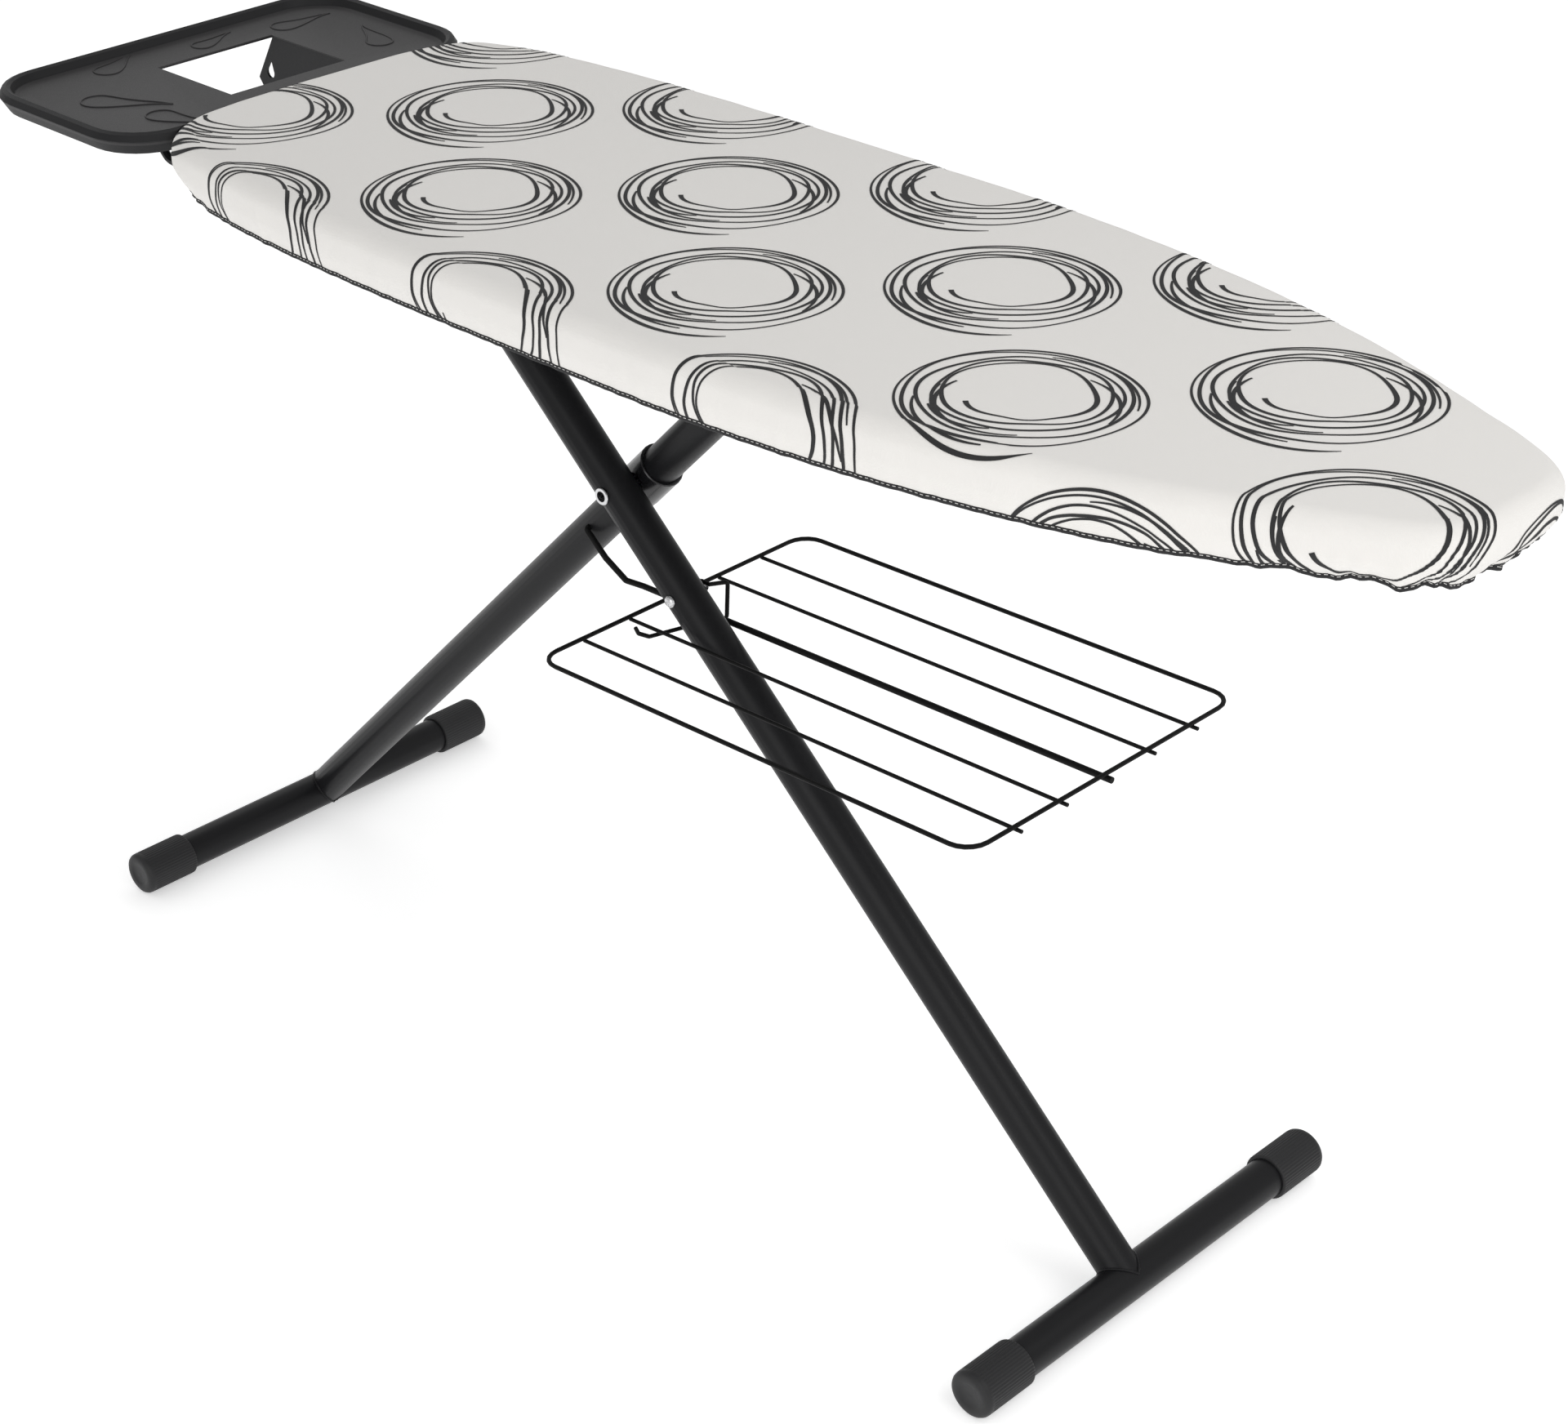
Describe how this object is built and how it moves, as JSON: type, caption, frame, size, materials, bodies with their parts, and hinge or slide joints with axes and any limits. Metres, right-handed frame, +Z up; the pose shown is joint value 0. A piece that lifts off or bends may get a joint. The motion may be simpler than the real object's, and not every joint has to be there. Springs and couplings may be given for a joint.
{
  "type": "ironing board",
  "caption": "Folding ironing board: padded cotton top on a steel frame, iron rest at the rear, two crossed tube legs with T feet, and a wire laundry shelf that folds with them.",
  "frame": {"origin": "on the floor under the middle of the object's bounding box", "axes": "+X along the board towards its nose, -Y towards the near long side, +Z up"},
  "size_m": [1.4538, 0.4368, 0.793],
  "materials": {
    "black_paint": "matt black powder coat on steel tube and wire",
    "black_plastic": "moulded black plastic, fine ribs on the foot caps",
    "grey_plastic": "matt anthracite moulding",
    "zinc": "bright zinc plate",
    "steel_deck": "pressed sheet with vent slots",
    "felt": "needled felt and foam pad",
    "cotton": "off-white cotton printed with loose black pen rings",
    "black_tape": "black edge tape with white stitches"
  },
  "bodies": {
    "board": {"cotton_cover": "cotton", "deck_sheet": "steel_deck", "foam_pad": "felt", "front_brace": "black_paint", "height_rack": "zinc", "hem_binding": "black_tape", "hinge_pin": "zinc", "iron_rest_tray": "grey_plastic", "lever_bracket": "black_paint", "lever_pin": "zinc", "lever_spring": "zinc", "rail_far": "black_paint", "rail_near": "black_paint", "rear_brace": "black_paint", "rim_tube": "black_paint", "tray_clip_1": "black_plastic", "tray_clip_2": "black_plastic", "tray_clip_3": "black_plastic", "tray_clip_4": "black_plastic", "tray_frame_rod": "black_paint"},
    "leg_a": {"leg_a_tube": "black_paint", "foot_a_tube": "black_paint", "foot_cap_a_near": "black_plastic", "foot_cap_a_far": "black_plastic", "leg_a_plug": "black_plastic", "pivot_rivet": "zinc", "dome_rivet": "zinc", "shelf_hook": "zinc"},
    "leg_b": {"leg_b_tube": "black_paint", "foot_b_tube": "black_paint", "foot_cap_b_near": "black_plastic", "foot_cap_b_far": "black_plastic", "leg_b_plug": "black_plastic", "pivot_collar": "black_plastic", "slider_axle": "zinc", "slider_glide_near": "black_plastic", "slider_glide_far": "black_plastic", "slider_washer_near": "zinc", "slider_washer_far": "zinc"},
    "laundry_shelf": {"shelf_frame": "black_paint", "shelf_rod": "black_paint", "shelf_wire_1": "black_paint", "shelf_wire_2": "black_paint", "shelf_wire_3": "black_paint", "shelf_wire_4": "black_paint"},
    "height_lever": {"lever_arm": "black_paint", "lever_grip": "black_plastic"}
  },
  "joints": [
    {"name": "leg_fold", "type": "hinge", "parent": "board", "child": "leg_a", "pos_m": [-0.3468, 0, 0.752], "axis": [0, -1, 0], "range_deg": [-3.8, 33]},
    {"name": "leg_scissor", "type": "hinge", "parent": "leg_a", "child": "leg_b", "pos_m": [-0.1025, 0, 0.535], "axis": [0, -1, 0], "range_deg": [-69.9, 8.1]},
    {"name": "shelf_swing", "type": "hinge", "parent": "leg_b", "child": "laundry_shelf", "pos_m": [-0.1636, 0, 0.47152], "axis": [0, -1, 0], "range_deg": [-4.6, 39.7]},
    {"name": "height_lever", "type": "hinge", "parent": "board", "child": "height_lever", "pos_m": [0.1065, -0.1, 0.736], "axis": [-1, 0, 0], "range_deg": [0, 12], "stiffness_Nm_per_rad": 0.5, "springref_deg": -17.19}
  ],
  "couplings": [
    {"joint": "leg_scissor", "follows": "leg_fold", "ratio": -2.115},
    {"joint": "shelf_swing", "follows": "leg_fold", "ratio": 1.2}
  ]
}
